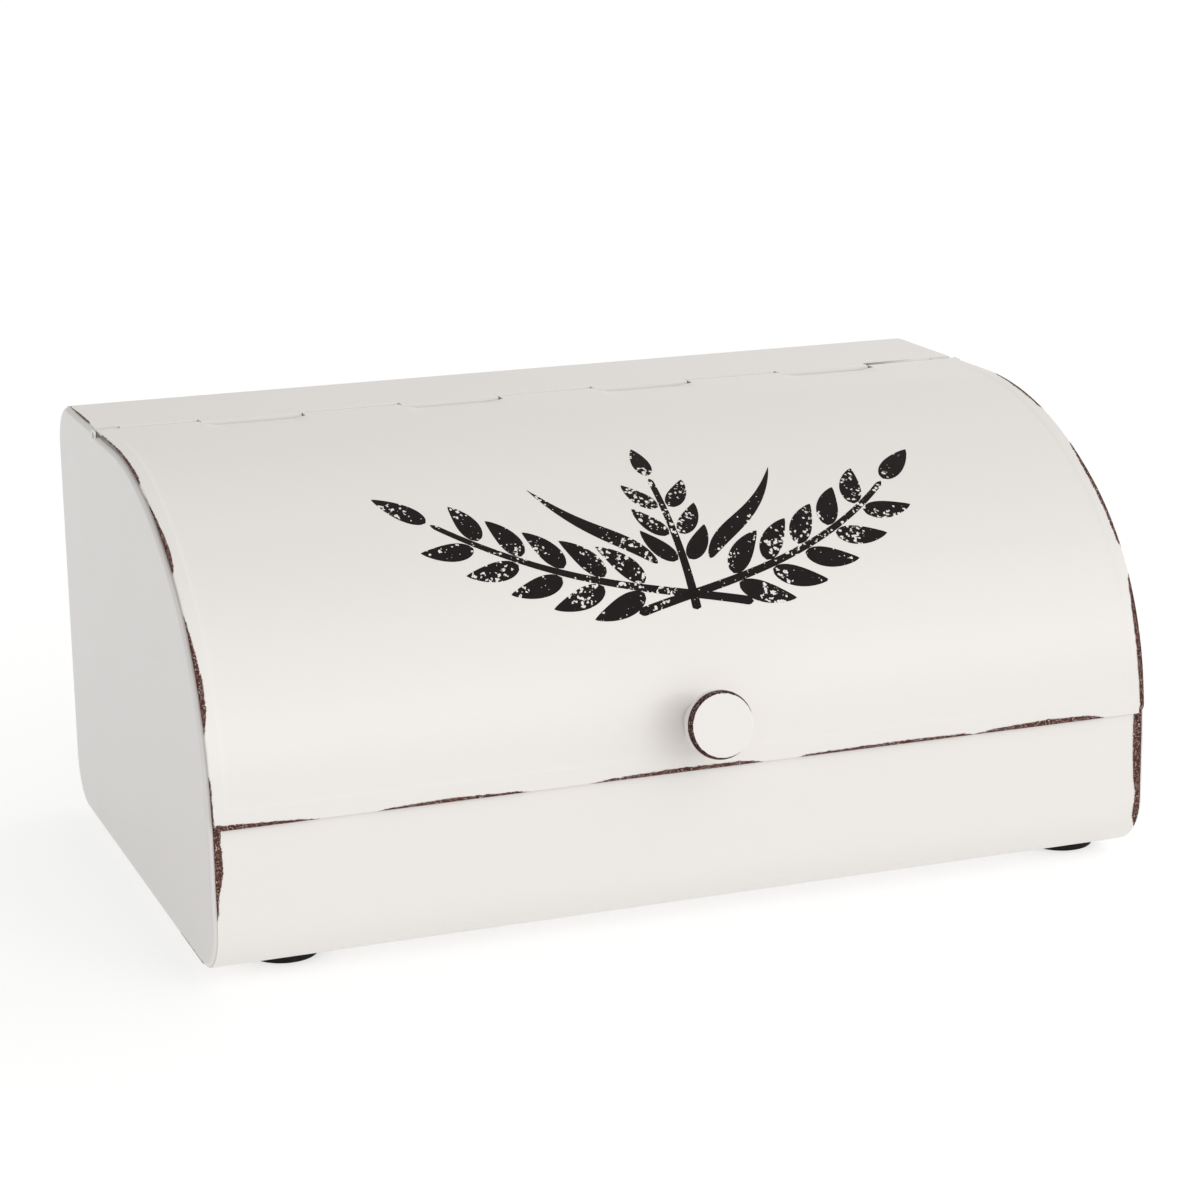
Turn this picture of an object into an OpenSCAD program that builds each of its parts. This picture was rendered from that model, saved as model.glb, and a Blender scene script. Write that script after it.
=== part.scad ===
// Bread box: a sheet-steel body with a curved lid that lifts on a full-width rolled hinge.
// Millimetres, +Z up, front towards -Y. The origin is the middle of the object's footprint on
// the surface that it stands on, counting the knob, with the feet's undersides at z = 0.

/* [Box] */
// Overall width across the end panels
body_w = 424; // [360:1:480]
// Depth from the front strip to the back
body_d = 269; // [250:1:300]
// Height of the box without its feet
body_h = 193; // [185:1:215]
// Thickness of every sheet
sheet_t = 0.7; // [0.5:0.1:0.9]
// Outer radius of the bend under the front strip
front_bend_r = 25; // [15:1:30]
// Outer radius of the bends at the back
rear_bend_r = 22; // [15:1:30]
// Height of the front strip's top edge, which the lid hides
strip_top = 76; // [74:1:85]
// Width of the end panels' turned-in flange
flange_w = 12; // [8:1:16]
// Outer radius of the bend between an end panel and its flange
panel_bend_r = 2; // [1.5:0.1:3]

/* [Lid] */
// Width of the lid
lid_w = 421; // [357:1:477]
// Height of the lid's lower edge
lid_bottom = 65; // [60:1:68]
// Height at which the front starts to lean back
lean_z = 51; // [45:1:55]
// Radius and angle of the lid's lowest curve
low_r = 218; // [200:1:240]
low_angle = 8; // [6:0.5:10]
// Radius and angle of the lid's middle curve
mid_r = 115.5; // [105:0.5:120]
mid_angle = 46.5; // [42:0.5:50]
// Gap between the lid and the sheet behind it
lid_gap = 0.3; // [0.2:0.1:0.6]
// Width of the lid's folded side hems
side_hem = 6; // [4:1:8]
// Height of the lid's folded bottom hem
bottom_hem = 8; // [6:1:9]
// Radius of the lid's lower corners
corner_r = 4; // [2:0.5:6]

/* [Hinge] */
// Distance of the hinge pin behind the front strip
hinge_y = 188; // [180:1:200]
// Diameter of the hinge pin
pin_d = 3; // [2.5:0.1:3.4]
// Number of knuckles across the width, an odd number
knuckles = 9; // [5:2:13]
// Side play between two knuckles
knuckle_play = 0.5; // [0.4:0.1:1]
// Radial clearance of the lid's knuckles on the pin
pin_clearance = 0.05; // [0.02:0.01:0.1]
// Slit behind the lid's knuckles, which sets how far the lid opens
slit = 1.6; // [1.4:0.1:2]
// Depth of the lid's notches in front of the fixed knuckles
notch = 6.5; // [6:0.5:12]
// Radius of the pin hole in each end panel
pin_hole_r = 1.6; // [1.6:0.1:1.8]

/* [Knob] */
// Diameter of the knob's head
knob_d = 28.8; // [24:0.2:34]
// Length of the knob from the lid
knob_l = 23.5; // [20:0.5:28]
// Thickness of the knob's head
knob_head_t = 6.5; // [5:0.5:9]
// Rounding of the knob's rim
knob_round = 1.2; // [0.8:0.1:2]
// Height of the knob's foot on the lid
knob_z = 86; // [84:1:100]

/* [Feet] */
// Diameter of a foot
foot_d = 29; // [24:1:32]
// Height of a foot
foot_h = 5; // [3.6:0.2:6]
// Distance of the left and right feet from the middle of the box
foot_left_x = 173; // [150:1:180]
foot_right_x = 192; // [150:1:192]
// Distance of the feet from the front strip and from the back
foot_inset_y = 40; // [40:1:60]

/* [Hidden] */
$fn = 96;
e = 0.01;
wrap_w = body_w - 2 * panel_bend_r;
panel_x = body_w / 2;
flange_x = panel_x - flange_w;
lid_step = 2 * sheet_t + lid_gap;
barrel_r = pin_d / 2 + 0.8;
axis_z = body_h - barrel_r;
bore_r = pin_d / 2 + pin_clearance;
pitch = lid_w / knuckles;
pin_set_in = 4;
pin_end_x = lid_w / 2 - pin_set_in;
ear_r = barrel_r + 1.4;
plate_strip = 12;
lip_h = 1.3;

// The curved front is three arcs, each tangent to the next, from upright to level.
// Their centres and the last radius are rounded to a hundredth.
function hundredth(v) = [for (n = v) round(100 * n) / 100];
lean_end = low_angle + mid_angle;
low_c = [low_r - lid_step, lean_z];
mid_c = hundredth(low_c + (low_r - mid_r) * [-cos(low_angle), sin(low_angle)]);
rise_mid = mid_c[1] + mid_r * sin(lean_end);
top_r = hundredth([(body_h - rise_mid) / (1 - sin(lean_end))])[0];
top_c = [hundredth(mid_c + (top_r - mid_r) * [cos(lean_end), -sin(lean_end)])[0], body_h - top_r];

// Each arc is drawn within an outline that shares its ends with the next one's.
cut_reach = 40;
function on_arc(c, r, a) = c + r * [-cos(a), sin(a)];
function cut_ends(c, r, a) = [on_arc(c, r + cut_reach, a), on_arc(c, r - cut_reach, a)];
lean_cut = [[-cut_reach, lean_z], [cut_reach, lean_z]];
low_cut = cut_ends(mid_c, mid_r, low_angle);
mid_cut = cut_ends(top_c, top_r, lean_end);
level_cut = [[top_c[0], body_h + cut_reach], [top_c[0], body_h - cut_reach]];
function between(p, q) = [p[1], p[0], q[0], q[1]];
LOW_ARC = [low_c, low_r, between(lean_cut, low_cut)];
MID_ARC = [mid_c, mid_r, between(low_cut, mid_cut)];
TOP_ARC = [top_c, top_r, between(mid_cut, level_cut)];

// The knob stands square to the lid, so its tilt follows from its height.
knob_tilt = asin((knob_z - mid_c[1]) / mid_r);
knob_foot = mid_c + mid_r * [-cos(knob_tilt), sin(knob_tilt)];
knob_reach = knob_l * cos(knob_tilt) + (knob_d / 2 - knob_round) * sin(knob_tilt)
    + knob_round * (1 - cos(knob_tilt));
knob_front_y = knob_foot[0] - knob_reach;
middle_y = (body_d + knob_front_y) / 2;

knob_bore_r = 2;
knob_bore_l = 14;
screw_slack = 0.02;
knob_neck_r = 5.5;
knob_base_r = 8;
knob_cove_r = 9;
lid_hole_r = 2.3;
knob_washer_r = 5;
knob_washer_t = 0.8;
knob_washer_gap = 0.13;
knob_screw_l = 12;

foot_hole_r = 1.7;
foot_recess_r = 5;
foot_recess_h = 2.6;
foot_round = 0.9;
foot_screw_r = 1.5;
foot_washer_t = 0.5;
foot_head_r = 2.9;
foot_head_h = 1.6;
foot_screw_up = 4.6;
nut_flats = 5.5;
nut_h = 2.4;
foot_rear_y = body_d - foot_inset_y;
FEET = [
    [-foot_left_x, foot_inset_y], [foot_right_x, foot_inset_y],
    [-foot_left_x, foot_rear_y], [foot_right_x, foot_rear_y],
];

PAINT = "whitesmoke";
STEEL = "silver";
RUBBER = "#1c1c1e";

// ---- Frames -------------------------------------------------------------------------------

// The shell is drawn with y = 0 at the front strip and z = 0 at the floor's underside.
module place() { translate([0, -middle_y, foot_h]) children(); }

// Turns a drawing in the side view, (y, z), into a solid of width w from x = x0.
module across(x0, w) {
    translate([x0, 0, 0]) rotate([90, 0, 90]) linear_extrude(w) children();
}

module sides() {
    children();
    mirror([1, 0, 0]) children();
}

// ---- Outlines in the side view --------------------------------------------------------------

// A strip of sheet along one of the arcs, between two insets from the lid's outer face.
module arc_strip(arc, i0, i1) {
    intersection() {
        difference() {
            translate(arc[0]) circle(arc[1] - i0, $fn = 360);
            translate(arc[0]) circle(arc[1] - i1, $fn = 360);
        }
        polygon(arc[2]);
    }
}

// The curved front between two insets, up to the level top and on to y = y1.
module front_strip_outline(i0, i1, y1) {
    for (arc = [LOW_ARC, MID_ARC, TOP_ARC]) arc_strip(arc, i0, i1);
    translate([top_c[0], body_h - i1]) square([y1 - top_c[0], i1 - i0]);
}

// The box's lower and rear outline at an inset from the sheet's outer face, up to z1.
module box_outline(i) {
    f = front_bend_r;
    r = rear_bend_r;
    polygon([
        [i, f], [f, i], [body_d - r, i], [body_d - i, r], [body_d - i, body_h - r],
        [body_d - r, body_h - i], [hinge_y, body_h - i], [hinge_y, lean_z], [i, lean_z],
    ]);
    translate([f, f]) circle(f - i);
    translate([body_d - r, r]) circle(r - i);
    translate([body_d - r, body_h - r]) circle(r - i);
}

// ---- Body -----------------------------------------------------------------------------------

// Sheet from the front strip round under the box and up the back, to the top at y = y_end.
module wrap_outline(y_end) {
    difference() {
        box_outline(0);
        box_outline(sheet_t);
        translate([-1, lean_z]) square([y_end + 1, body_h]);
    }
    intersection() {
        arc_strip(LOW_ARC, lid_step, lid_step + sheet_t);
        square([50, strip_top]);
    }
}

module knuckle(x0, w, r) {
    across(x0, w) translate([hinge_y, axis_z]) difference() {
        circle(barrel_r);
        circle(r);
    }
}

function knuckle_x(k) = -lid_w / 2 + k * pitch;

module body_wrap() {
    slit_y = hinge_y + barrel_r + slit;
    stop_z = strip_top - 6;
    place() color(PAINT) {
        difference() {
            union() {
                across(-wrap_w / 2, wrap_w) wrap_outline(slit_y);
                for (k = [1:2:knuckles - 2]) {
                    x0 = knuckle_x(k) + knuckle_play / 2;
                    w = pitch - knuckle_play;
                    across(x0, w) translate([hinge_y, body_h - sheet_t])
                        square([slit_y - hinge_y + 1, sheet_t]);
                    knuckle(x0, w, pin_d / 2);
                }
                // The sheet's edge is turned down behind each of the lid's knuckles.
                for (k = [0:2:knuckles - 1]) {
                    x0 = max(knuckle_x(k) + knuckle_play / 2, 1 - flange_x);
                    x1 = min(knuckle_x(k + 1) - knuckle_play / 2, flange_x - 1);
                    across(x0, x1 - x0) translate([slit_y, body_h - lip_h])
                        square([sheet_t, lip_h - sheet_t / 2]);
                }
            }
            across(-lid_w / 2 - e, lid_w + 2 * e) translate([hinge_y, axis_z]) circle(pin_d / 2);
            for (p = FEET) translate([p[0], p[1], -1]) cylinder(h = 5, r = foot_hole_r);
        }
        // The strip's top edge is folded in behind the lid.
        across(-flange_x + 1, 2 * flange_x - 2) intersection() {
            arc_strip(LOW_ARC, lid_step + sheet_t / 2, lid_step + 2 * sheet_t);
            translate([0, stop_z]) square([50, 6]);
        }
    }
}

// Cross-section of an end panel's edge, as [depth below the sheet's outer face, x]: the flange,
// its bend and the first strip of the flat plate.
module panel_edge() {
    bend_end = sheet_t + panel_bend_r;
    translate([sheet_t, flange_x]) square([sheet_t, flange_w - panel_bend_r]);
    translate([bend_end, panel_x - panel_bend_r]) intersection() {
        difference() {
            circle(panel_bend_r, $fn = 48);
            circle(panel_bend_r - sheet_t, $fn = 48);
        }
        translate([-2 * panel_bend_r, 0]) square([2 * panel_bend_r, 2 * panel_bend_r]);
    }
    translate([bend_end, panel_x - sheet_t]) square([plate_strip, sheet_t]);
}

// The edge along a bend of radius r about the point c, within an outline in the side view.
module edge_round(c, r, limits) {
    intersection() {
        translate([0, c[0], c[1]]) rotate([90, 0, 90])
            rotate_extrude($fn = 360) translate([r, 0]) mirror([1, 0]) panel_edge();
        across(flange_x - 1, flange_w + 2) polygon(limits);
    }
}

// The edge along a straight of length l, which starts at p and runs towards the angle a.
module edge_straight(p, l, a) {
    translate([0, p[0], p[1]]) rotate([a, 0, 0]) rotate([-90, 0, 0]) linear_extrude(l)
        rotate([0, 0, -90]) panel_edge();
}

// Points every few degrees along an arc of the panel's outline, i inside it.
function arc_points(c, r, a0, a1, i) =
    [for (k = [0:4]) c + (r - i) * [cos(a0 + (a1 - a0) * k / 4), sin(a0 + (a1 - a0) * k / 4)]];

// The flat plate inside the strips, whose edge runs along the middle of them.
module plate_middle() {
    f = front_bend_r;
    r = rear_bend_r;
    i = sheet_t + panel_bend_r + plate_strip / 2;
    polygon(concat(
        arc_points([f, f], f, 180, 270, i),
        arc_points([body_d - r, r], r, 270, 360, i),
        arc_points([body_d - r, body_h - r], r, 0, 90, i),
        arc_points(top_c, top_r - lid_step, 90, 180 - lean_end, i),
        arc_points(mid_c, mid_r - lid_step, 180 - lean_end, 180 - low_angle, i),
        arc_points(low_c, low_r - lid_step, 180 - low_angle, 180, i)
    ));
}

// The right end panel: a flat plate with a turned-in flange, which stops short of the hinge.
module end_panel() {
    f = front_bend_r;
    r = rear_bend_r;
    gap_front = hinge_y - ear_r;
    gap_back = hinge_y + barrel_r + slit;
    edge_round([f, f], f, [[f, f], [-1, f], [-1, -1], [f, -1]]);
    edge_round([body_d - r, r], r,
        [[body_d - r, r], [body_d - r, -1], [body_d + 1, -1], [body_d + 1, r]]);
    edge_round([body_d - r, body_h - r], r, [
        [body_d - r, body_h - r], [body_d + 1, body_h - r],
        [body_d + 1, body_h + 1], [body_d - r, body_h + 1],
    ]);
    for (arc = [LOW_ARC, MID_ARC, TOP_ARC]) edge_round(arc[0], arc[1] - lid_step, arc[2]);
    edge_straight([f, 0], body_d - f - r, 0);
    edge_straight([body_d, r], body_h - 2 * r, 90);
    edge_straight([body_d - r, body_h], body_d - r - gap_back, 180);
    edge_straight([gap_front, body_h - lid_step], gap_front - top_c[0], 180);
    edge_straight([0, lean_z], lean_z - f, 270);
    across(panel_x - sheet_t, sheet_t) difference() {
        union() {
            plate_middle();
            translate([hinge_y, axis_z]) intersection() {
                circle(ear_r);
                translate([-ear_r, -ear_r]) square([2 * ear_r, ear_r + barrel_r]);
            }
            translate([gap_front, axis_z - plate_strip]) square([gap_back - gap_front, plate_strip]);
        }
        translate([hinge_y, axis_z]) circle(pin_hole_r);
    }
}

module left_end_panel() { place() color(PAINT) mirror([1, 0, 0]) end_panel(); }
module right_end_panel() { place() color(PAINT) end_panel(); }

module hinge_pin() {
    place() color(STEEL) across(-pin_end_x, 2 * pin_end_x)
        translate([hinge_y, axis_z]) circle(pin_d / 2);
}

// ---- Lid ------------------------------------------------------------------------------------

module lid_outline(i0, i1, y1) {
    difference() {
        front_strip_outline(i0, i1, y1);
        translate([-50, 0]) square([100, lid_bottom]);
    }
}

module lid_corner_cut() {
    translate([lid_w / 2 - corner_r, -10, lid_bottom + corner_r]) rotate([-90, 0, 0])
        linear_extrude(30) difference() {
            square(corner_r + 1);
            circle(1.01 * corner_r);
        }
}

// Lines that point along the knob, with z = 0 on the lid's outer face.
module on_lid() {
    translate([0, knob_foot[0], knob_foot[1]]) rotate([90 - knob_tilt, 0, 0]) children();
}

module lid() {
    hem_end = hinge_y - notch;
    place() color(PAINT) difference() {
        union() {
            across(-lid_w / 2, lid_w) lid_outline(0, sheet_t, hinge_y);
            sides() across(lid_w / 2 - side_hem, side_hem)
                lid_outline(sheet_t / 2, 2 * sheet_t, hem_end);
            across(-lid_w / 2, lid_w) intersection() {
                lid_outline(sheet_t / 2, 2 * sheet_t, hem_end);
                translate([-5, lid_bottom]) square([20, bottom_hem]);
            }
            for (k = [0:2:knuckles - 1]) {
                trim_l = k == 0 ? 0 : knuckle_play / 2;
                trim_r = k == knuckles - 1 ? 0 : knuckle_play / 2;
                knuckle(knuckle_x(k) + trim_l, pitch - trim_l - trim_r, bore_r);
            }
        }
        for (k = [1:2:knuckles - 2])
            translate([knuckle_x(k) - knuckle_play / 2, hem_end, axis_z - 5])
                cube([pitch + knuckle_play, notch + 5, 20]);
        across(-lid_w / 2 - e, lid_w + 2 * e) translate([hinge_y, axis_z]) circle(bore_r);
        sides() lid_corner_cut();
        on_lid() translate([0, 0, -5]) cylinder(h = 10, r = lid_hole_r);
    }
}

module knob_outline() {
    head_z = knob_l - knob_head_t;
    r = knob_d / 2;
    translate([0, head_z]) square([r - knob_round, knob_head_t]);
    translate([0, head_z + knob_round]) square([r, knob_head_t - 2 * knob_round]);
    for (z = [head_z + knob_round, knob_l - knob_round])
        translate([r - knob_round, z]) circle(knob_round, $fn = 48);
    difference() {
        square([knob_base_r, head_z + e]);
        translate([knob_neck_r + knob_cove_r, head_z / 2]) circle(knob_cove_r);
    }
}

module knob() {
    place() color(PAINT) on_lid() difference() {
        rotate_extrude() intersection() {
            knob_outline();
            square([knob_d, knob_l]);
        }
        translate([0, 0, -1]) cylinder(h = knob_bore_l + 1, r = knob_bore_r);
    }
}

module pan_head(r, h, slot) {
    difference() {
        intersection() {
            translate([0, 0, -h]) cylinder(h = h, r = r);
            translate([0, 0, r - h]) sphere(r = r * 1.12);
        }
        for (a = [0, 90]) rotate([0, 0, a])
            translate([-slot, -slot / 5, -h - 1]) cube([2 * slot, slot / 2.5, 1 + h * 0.55]);
    }
}

module knob_screw() {
    seat = sheet_t + knob_washer_gap + knob_washer_t;
    place() color(STEEL) on_lid() {
        translate([0, 0, -seat - e]) cylinder(h = seat + knob_screw_l + e, r = knob_bore_r - screw_slack);
        translate([0, 0, -seat]) pan_head(3.8, 2.4, 1.8);
    }
}

module knob_washer() {
    place() color(STEEL) on_lid() translate([0, 0, -sheet_t - knob_washer_gap - knob_washer_t])
        difference() {
            cylinder(h = knob_washer_t, r = knob_washer_r);
            translate([0, 0, -1]) cylinder(h = knob_washer_t + 2, r = knob_bore_r + 0.15);
        }
}

// ---- Feet -----------------------------------------------------------------------------------

module foot(p) {
    r = foot_d / 2;
    place() color(RUBBER) translate([p[0], p[1], -foot_h]) rotate_extrude() difference() {
        union() {
            translate([0, foot_round]) square([r, foot_h - foot_round]);
            square([r - foot_round, foot_h]);
            translate([r - foot_round, foot_round]) circle(foot_round, $fn = 48);
        }
        translate([-1, -1]) square([1 + foot_hole_r, foot_h + 2]);
        translate([-1, -1]) square([1 + foot_recess_r, 1 + foot_recess_h]);
    }
}

module foot_front_left() { foot(FEET[0]); }
module foot_front_right() { foot(FEET[1]); }
module foot_rear_left() { foot(FEET[2]); }
module foot_rear_right() { foot(FEET[3]); }

module at_feet() {
    place() for (p = FEET) translate([p[0], p[1], 0]) children();
}

module foot_washers() {
    color(STEEL) at_feet() translate([0, 0, foot_recess_h - foot_h - foot_washer_t]) difference() {
        cylinder(h = foot_washer_t, r = foot_recess_r - 0.3);
        translate([0, 0, -1]) cylinder(h = 3, r = foot_screw_r + 0.1);
    }
}

module foot_screws() {
    head_z = foot_recess_h - foot_h - foot_washer_t;
    color(STEEL) at_feet() {
        translate([0, 0, head_z - e]) cylinder(h = foot_screw_up - head_z, r = foot_screw_r);
        translate([0, 0, head_z]) pan_head(foot_head_r, foot_head_h, 1.5);
    }
}

module foot_nuts() {
    color(STEEL) at_feet() translate([0, 0, sheet_t]) difference() {
        cylinder(h = nut_h, r = nut_flats / sqrt(3), $fn = 6);
        translate([0, 0, -1]) cylinder(h = nut_h + 2, r = foot_screw_r + 0.02);
    }
}

// ---- Nodes ----------------------------------------------------------------------------------

body_wrap();
left_end_panel();
right_end_panel();
hinge_pin();
lid();
knob();
knob_screw();
knob_washer();
foot_front_left();
foot_front_right();
foot_rear_left();
foot_rear_right();
foot_screws();
foot_washers();
foot_nuts();
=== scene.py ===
"""Looks of the bread box: enamelled sheet steel with worn edges, a wheat print and rubber feet."""

import math

import bmesh
import bpy
from mathutils import Matrix, Vector, noise


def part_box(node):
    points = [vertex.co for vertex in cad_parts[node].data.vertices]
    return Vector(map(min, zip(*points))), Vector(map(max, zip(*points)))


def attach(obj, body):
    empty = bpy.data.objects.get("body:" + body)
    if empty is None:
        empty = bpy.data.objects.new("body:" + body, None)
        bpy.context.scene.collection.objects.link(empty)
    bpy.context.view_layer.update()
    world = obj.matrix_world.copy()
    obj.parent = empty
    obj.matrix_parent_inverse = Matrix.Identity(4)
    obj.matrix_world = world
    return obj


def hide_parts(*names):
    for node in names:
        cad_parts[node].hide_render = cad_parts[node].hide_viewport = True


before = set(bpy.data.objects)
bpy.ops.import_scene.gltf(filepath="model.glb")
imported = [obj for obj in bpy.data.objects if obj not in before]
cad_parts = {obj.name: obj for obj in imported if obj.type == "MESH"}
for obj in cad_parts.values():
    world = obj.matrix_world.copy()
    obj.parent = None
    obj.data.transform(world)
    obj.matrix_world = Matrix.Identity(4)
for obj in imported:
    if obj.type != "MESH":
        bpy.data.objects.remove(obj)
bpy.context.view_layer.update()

# ---- Sizes, in millimetres in the shell's frame --------------------------------------------
# y = 0 is the front strip's outer face, z = 0 the floor's underside and x = 0 the middle.

MM = 0.001
TINY = 0.01
wrap_low, wrap_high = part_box("body_wrap")
lid_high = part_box("lid")[1]
panel_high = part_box("right_end_panel")[1]
SHELL_Y = wrap_low.y / MM
SHELL_Z = wrap_low.z / MM
BODY_D = (wrap_high.y - wrap_low.y) / MM
BODY_H = (wrap_high.z - wrap_low.z) / MM
WRAP_HALF = wrap_high.x / MM
LID_HALF = lid_high.x / MM
PANEL_X = panel_high.x / MM

# The sheet's thickness and the body's bends.
SHEET = 0.7
FRONT_BEND = 25.0
REAR_BEND = 22.0
STRIP_TOP = 76.0
FLANGE = 12.0
PANEL_BEND = 2.0
LEAN_Z = 51.0

# The front's curves from the bottom up, and the lid that lies LID_STEP outside them.
LOW_R, LOW_ANGLE = 218.0, 8.0
MID_R, MID_ANGLE = 115.5, 46.5
LID_STEP = 1.7
LID_BOTTOM = 65.0
SIDE_HEM = 6.0
BOTTOM_HEM = 8.0
CORNER_R = 4.0

# The hinge: knuckles of one pitch, with side play, and the slit and notches that let them turn.
HINGE_Y = 188.0
BARREL_R = 2.3
AXIS_Z = BODY_H - BARREL_R
KNUCKLES = 9
PITCH = 2 * LID_HALF / KNUCKLES
PLAY = 0.5
SLIT = 1.6
NOTCH = 6.5
ROLL = 318.0

# The top strip's edge, turned down behind the slit, which gapes between two places along x.
LIP_DROP = 1.3
LIP_BEND = 0.8
GAPE_START, GAPE_END = 163.7, 193.0

# The end panels' ears, which hold the pin.
PIN_HOLE_R = 1.6
EAR_R = 3.7
EAR_TOP = 2.0
PANEL_GAP_Z = 3.4

# The knob: height on the lid, head, rim, base, neck and the hollow between them.
KNOB_Z = 86.0
KNOB_R = 14.4
KNOB_L = 23.5
KNOB_HEAD = 6.5
KNOB_RIM = 1.2
KNOB_BASE_R = 8.0
KNOB_NECK_R = 5.5
KNOB_COVE_R = 9.0


def place(x, y, z):
    """A point of the shell's frame, in the row frame's metres."""
    return Vector((x, y + SHELL_Y, z + SHELL_Z)) * MM


# ---- Side-view lines -----------------------------------------------------------------------


class Path:
    """A line in the side view that only bends clockwise. The sheet lies on its right."""

    def __init__(self, y, z, heading):
        self.start = (y, z, heading)
        self.parts = []
        self.marks = [0.0]

    def end(self):
        return self.at(self.marks[-1])

    def straight(self, length):
        y, z, heading = self.end() if self.parts else self.start
        self.parts.append((y, z, heading, length, 0.0))
        self.marks.append(self.marks[-1] + length)
        return self

    def bend(self, radius, angle):
        y, z, heading = self.end() if self.parts else self.start
        length = radius * math.radians(angle)
        self.parts.append((y, z, heading, length, radius))
        self.marks.append(self.marks[-1] + length)
        return self

    def at(self, s):
        """The outer face's y, z and heading after s millimetres."""
        k = 0
        while k < len(self.parts) - 1 and s > self.marks[k + 1] + 1e-9:
            k += 1
        y, z, heading, length, radius = self.parts[k]
        s -= self.marks[k]
        a = math.radians(heading)
        if not radius:
            return y + s * math.cos(a), z + s * math.sin(a), heading
        b = a - s / radius
        y += radius * (math.sin(a) - math.sin(b))
        z += radius * (math.cos(b) - math.cos(a))
        return y, z, math.degrees(b)

    def point(self, x, s, inset):
        """A point under the outer face, inset along the sheet's thickness."""
        y, z, heading = self.at(s)
        a = math.radians(heading)
        return place(x, y + inset * math.sin(a), z - inset * math.cos(a))

    def lines(self, step, turn, first=0, last=None):
        """Positions along the path, no further apart than a length and an angle."""
        found = [self.marks[first]]
        for k in range(first, len(self.parts) if last is None else last):
            y, z, heading, length, radius = self.parts[k]
            n = math.ceil(length / step)
            if radius:
                n = max(n, math.ceil(math.degrees(length / radius) / turn))
            found += [self.marks[k] + length * (i + 1) / n for i in range(n)]
        return found


def sorted_lines(*groups):
    """All the positions in order, without those that nearly repeat."""
    found = []
    for v in sorted(v for group in groups for v in group):
        if not found or v - found[-1] > 0.02:
            found.append(v)
    return found


def between(a, b, step):
    n = max(1, math.ceil(abs(b - a) / step))
    return [a + (b - a) * i / n for i in range(n + 1)]


low_start = math.degrees(math.asin((LID_BOTTOM - LEAN_Z) / LOW_R))
lean_end = LOW_ANGLE + MID_ANGLE
low_center_y = LOW_R - LID_STEP


def rise(angle):
    return math.sin(math.radians(angle))


mid_z = LEAN_Z + (LOW_R - MID_R) * rise(LOW_ANGLE)
TOP_R = (BODY_H - mid_z - MID_R * rise(lean_end)) / (1 - rise(lean_end))

lid_path = Path(low_center_y - LOW_R * math.cos(math.radians(low_start)), LID_BOTTOM, 90 - low_start)
lid_path.bend(LOW_R, LOW_ANGLE - low_start).bend(MID_R, MID_ANGLE).bend(TOP_R, 90 - lean_end)
lid_path.straight(HINGE_Y - NOTCH - lid_path.end()[0]).straight(NOTCH)
lid_path.bend(BARREL_R, ROLL)
LID_NOTCH_S, LID_ROLL_S = lid_path.marks[4], lid_path.marks[5]

roll_start = math.radians(ROLL)
wrap_path = Path(HINGE_Y - BARREL_R * math.sin(roll_start), AXIS_Z + BARREL_R * math.cos(roll_start), ROLL)
wrap_path.bend(BARREL_R, ROLL).straight(BARREL_R + SLIT)
wrap_path.straight(BODY_D - REAR_BEND - HINGE_Y - BARREL_R - SLIT).bend(REAR_BEND, 90)
wrap_path.straight(BODY_H - 2 * REAR_BEND).bend(REAR_BEND, 90)
wrap_path.straight(BODY_D - REAR_BEND - FRONT_BEND).bend(FRONT_BEND, 90)
wrap_path.straight(LEAN_Z - FRONT_BEND)
wrap_path.bend(low_center_y, math.degrees(math.asin((STRIP_TOP - LEAN_Z) / low_center_y)))
wrap_path.bend(0.75, 180).straight(6.0)
LIP_S = wrap_path.marks[2] + LIP_BEND

lip_path = Path(HINGE_Y + BARREL_R + SLIT, BODY_H - LIP_DROP, 90)
lip_path.straight(LIP_DROP - LIP_BEND).bend(LIP_BEND, 90)

panel_path = Path(HINGE_Y + BARREL_R + SLIT, BODY_H, 0)
panel_path.straight(BODY_D - REAR_BEND - HINGE_Y - BARREL_R - SLIT).bend(REAR_BEND, 90)
panel_path.straight(BODY_H - 2 * REAR_BEND).bend(REAR_BEND, 90)
panel_path.straight(BODY_D - REAR_BEND - FRONT_BEND).bend(FRONT_BEND, 90)
panel_path.straight(LEAN_Z - FRONT_BEND).bend(low_center_y, LOW_ANGLE)
panel_path.bend(MID_R - LID_STEP, MID_ANGLE).bend(TOP_R - LID_STEP, 90 - lean_end)
panel_path.straight(HINGE_Y - EAR_R - panel_path.end()[0])


# ---- Meshes --------------------------------------------------------------------------------


def new_piece(name, points, faces, worn, body, slot, nodes, sharp=40.0):
    """Makes a piece whose vertices carry how far they lie inside a worn patch, in mm."""
    mesh = bpy.data.meshes.new(name)
    mesh.from_pydata(points, [], faces)
    mesh.validate()
    layer = mesh.attributes.new("worn", "FLOAT", "POINT")
    layer.data.foreach_set("value", worn)
    for polygon in mesh.polygons:
        polygon.use_smooth = True
    mesh.set_sharp_from_angle(angle=math.radians(sharp))
    piece = bpy.data.objects.new(name, mesh)
    bpy.context.scene.collection.objects.link(piece)
    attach(piece, body)
    if nodes:
        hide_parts(*nodes)
    return piece


def soften(piece, width, segments=2, angle=50.0):
    """Rounds the cut edges of a sheet, as paint does."""
    bevel = piece.modifiers.new("soft_edges", "BEVEL")
    bevel.width = width * MM
    bevel.segments = segments
    bevel.limit_method = "ANGLE"
    bevel.angle_limit = math.radians(angle)
    bevel.harden_normals = True


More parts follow.
